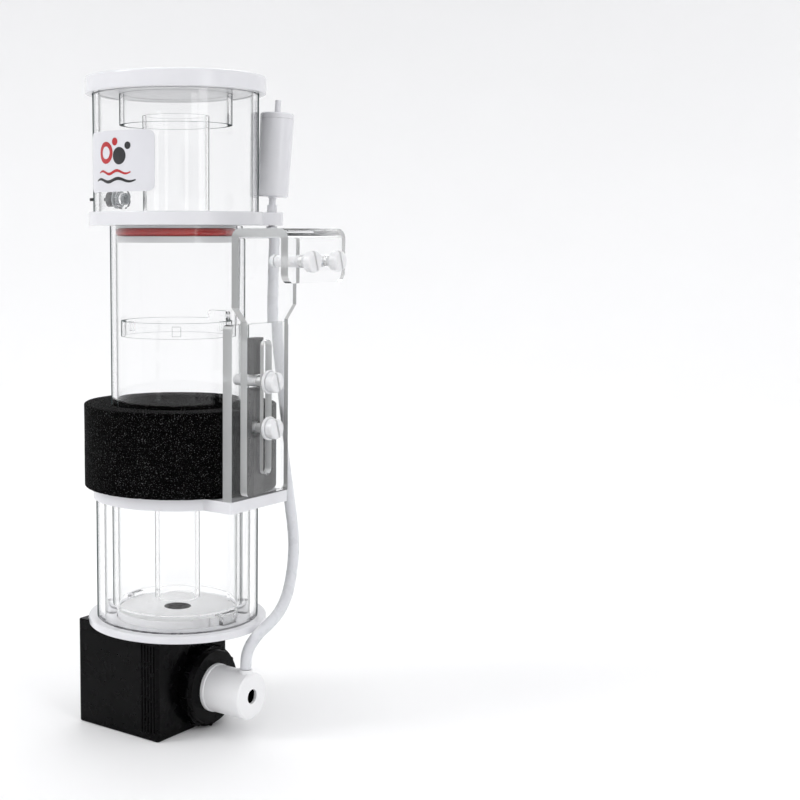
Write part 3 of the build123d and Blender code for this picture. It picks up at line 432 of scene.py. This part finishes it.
def make_hose():
    """The air hose: a flexible tube with an open bore, from the intake's port to the ear of the cup."""
    line = hose_line()
    sides = HOSE_SIDES
    across = Vector((1, 0, 0))
    rings = []
    for i, point in enumerate(line):
        ahead = (line[min(i + 1, len(line) - 1)] - line[max(i - 1, 0)]).normalized()
        across = (across - ahead * across.dot(ahead)).normalized()
        up = ahead.cross(across)
        rings.append([across * cos(2 * pi * k / sides) + up * sin(2 * pi * k / sides) for k in range(sides)])
    points = [p + d * HOSE_R for p, ring in zip(line, rings) for d in ring]
    points += [p + d * HOSE_BORE_R for p, ring in zip(line, rings) for d in ring]
    bore = len(line) * sides
    faces = []
    for i in range(len(line) - 1):
        for k in range(sides):
            a, b = i * sides + k, i * sides + (k + 1) % sides
            faces.append((a, b, b + sides, a + sides))
            faces.append((bore + b, bore + a, bore + a + sides, bore + b + sides))
    last = (len(line) - 1) * sides
    for k in range(sides):
        n = (k + 1) % sides
        faces.append((n, k, bore + k, bore + n))
        faces.append((last + k, last + n, bore + last + n, bore + last + k))
    piece = mesh_piece("hose", points, faces, "milky_silicone")
    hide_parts("air_hose")
    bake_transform(piece)


def on_label(across, up):
    """A point on the label, by its distance from the label's middle."""
    low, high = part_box("cup_label")
    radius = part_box("cup_wall")[1].x + INK_LIFT
    angle = LABEL_FACING + across / radius
    return Vector((radius * cos(angle), radius * sin(angle), (low.z + high.z) / 2 + up))


class Print:
    """Flat shapes printed on the label, in one ink."""

    def __init__(self):
        self.points = []
        self.faces = []

    def disc(self, across, up, outer, inner=0.0):
        """A ring, or a full disc where `inner` is 0."""
        sides = 40
        start = len(self.points)
        for k in range(sides):
            angle = 2 * pi * k / sides
            for radius in (outer, inner):
                self.points.append(on_label(across + radius * cos(angle), up + radius * sin(angle)))
        for k in range(sides):
            a, b = start + 2 * k, start + 2 * ((k + 1) % sides)
            self.faces.append((a, b, b + 1, a + 1))

    def ripple(self, up, swing, width, length):
        """A wavy bar that tapers at both ends."""
        count = 60
        start = len(self.points)
        for i in range(count + 1):
            across = (i / count - 0.5) * length
            rise = up + swing * sin(i / count * 4 * pi)
            half = width / 2 * sin(pi * (0.06 + 0.88 * i / count)) ** 0.5
            self.points.append(on_label(across, rise + half))
            self.points.append(on_label(across, rise - half))
        for i in range(count):
            a = start + 2 * i
            self.faces.append((a, a + 1, a + 3, a + 2))

    def finish(self, name, ink):
        piece = mesh_piece(name, self.points, self.faces, ink)
        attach(piece, "cup")


def make_emblem():
    """A plain printed emblem: rising bubbles in two inks over two ripples."""
    dark = Print()
    dark.disc(4.6 * MM, 2.6 * MM, 4.4 * MM)
    dark.disc(10.2 * MM, 7.6 * MM, 1.9 * MM)
    dark.ripple(-9.6 * MM, 0.8 * MM, 1.7 * MM, 30 * MM)
    dark.finish("label_emblem_dark", "dark_ink")
    red = Print()
    red.disc(-5.6 * MM, 4.4 * MM, 5.6 * MM, 3.2 * MM)
    red.disc(1.6 * MM, 9.8 * MM, 2.0 * MM)
    red.ripple(-5.6 * MM, 0.8 * MM, 1.5 * MM, 24 * MM)
    red.finish("label_emblem_red", "red_ink")


# ---- set ------------------------------------------------------------------------------------------------
def make_set():
    """A pale bowl of a floor under a white sky."""
    turns = FLOOR_TURNS
    outline = [(0.0, 0.0), (FLOOR_FLAT_R, 0.0)]
    for degrees in range(0, 91, 4):
        slope = radians(degrees)
        outline.append((BOWL_START_R + BOWL_R * sin(slope), BOWL_R - BOWL_R * cos(slope)))
    outline.append((BOWL_START_R + BOWL_R, WALL_TOP))
    points = []
    for radius, height in outline:
        for k in range(turns):
            angle = 2 * pi * k / turns
            points.append((radius * cos(angle), radius * sin(angle), height))
    faces = []
    for i in range(len(outline) - 1):
        for k in range(turns):
            a, b = i * turns + k, i * turns + (k + 1) % turns
            faces.append((a, b, b + turns, a + turns))
    data = bpy.data.meshes.new("floor")
    data.from_pydata(points, [], faces)
    data.polygons.foreach_set("use_smooth", [True] * len(data.polygons))
    floor = bpy.data.objects.new("floor", data)
    bpy.context.scene.collection.objects.link(floor)
    paper = Surface("paper", roughness=0.9, specular_ior_level=0.1)
    paper.spread(paper.noise(3, 2), (0.93, 0.93, 0.935), (0.94, 0.94, 0.945), "Base Color")
    data.materials.append(paper.material)

    world = bpy.data.worlds.new("sky")
    bpy.context.scene.world = world
    world.use_nodes = True
    background = world.node_tree.nodes["Background"]
    height = world.node_tree.nodes.new("ShaderNodeSeparateXYZ")
    sky = world.node_tree.nodes.new("ShaderNodeValToRGB")
    direction = world.node_tree.nodes.new("ShaderNodeTexCoord")
    sky.color_ramp.elements[0].color = (0.30, 0.31, 0.32, 1)
    sky.color_ramp.elements[1].color = (1.0, 1.0, 1.0, 1)
    world.node_tree.links.new(direction.outputs["Generated"], height.inputs["Vector"])
    world.node_tree.links.new(height.outputs["Z"], sky.inputs["Fac"])
    world.node_tree.links.new(sky.outputs["Color"], background.inputs["Color"])
    background.inputs["Strength"].default_value = 1.15


def soft_light(name, place, size, watts):
    """A soft box that faces the middle of the object."""
    data = bpy.data.lights.new(name, "AREA")
    data.shape = "RECTANGLE"
    data.size, data.size_y = size
    data.energy = watts
    lamp = bpy.data.objects.new(name, data)
    lamp.location = place
    lamp.rotation_euler = (Vector(LIGHT_AIM) - Vector(place)).to_track_quat("-Z", "Y").to_euler()
    bpy.context.scene.collection.objects.link(lamp)


def make_camera():
    """The camera, at the angle and distance that the object was first seen from."""
    data = bpy.data.cameras.new("camera")
    data.lens = 62.81
    data.sensor_width = 36
    data.shift_x = 0.226
    data.clip_start = 0.05
    camera = bpy.data.objects.new("camera", data)
    camera.location = (0.4857, -0.5758, 0.2683)
    camera.rotation_euler = (radians(90 - 6.814), 0, radians(38.4))
    bpy.context.scene.collection.objects.link(camera)
    bpy.context.scene.camera = camera


make_camera()
make_hose()
paint_frame()
make_sponge()
make_emblem()
make_set()
soft_light("key", (-0.75, -1.1, 1.2), (0.5, 0.9), 7)
soft_light("fill", (1.4, -0.3, 0.8), (0.35, 1.2), 3)
soft_light("back", (-0.7, 1.3, 1.7), (1.4, 0.8), 9)
bpy.context.scene.view_settings.view_transform = "Standard"
# light crosses up to twenty clear walls on its way through the column
bpy.context.scene.cycles.max_bounces = 28
bpy.context.scene.cycles.transmission_bounces = 28
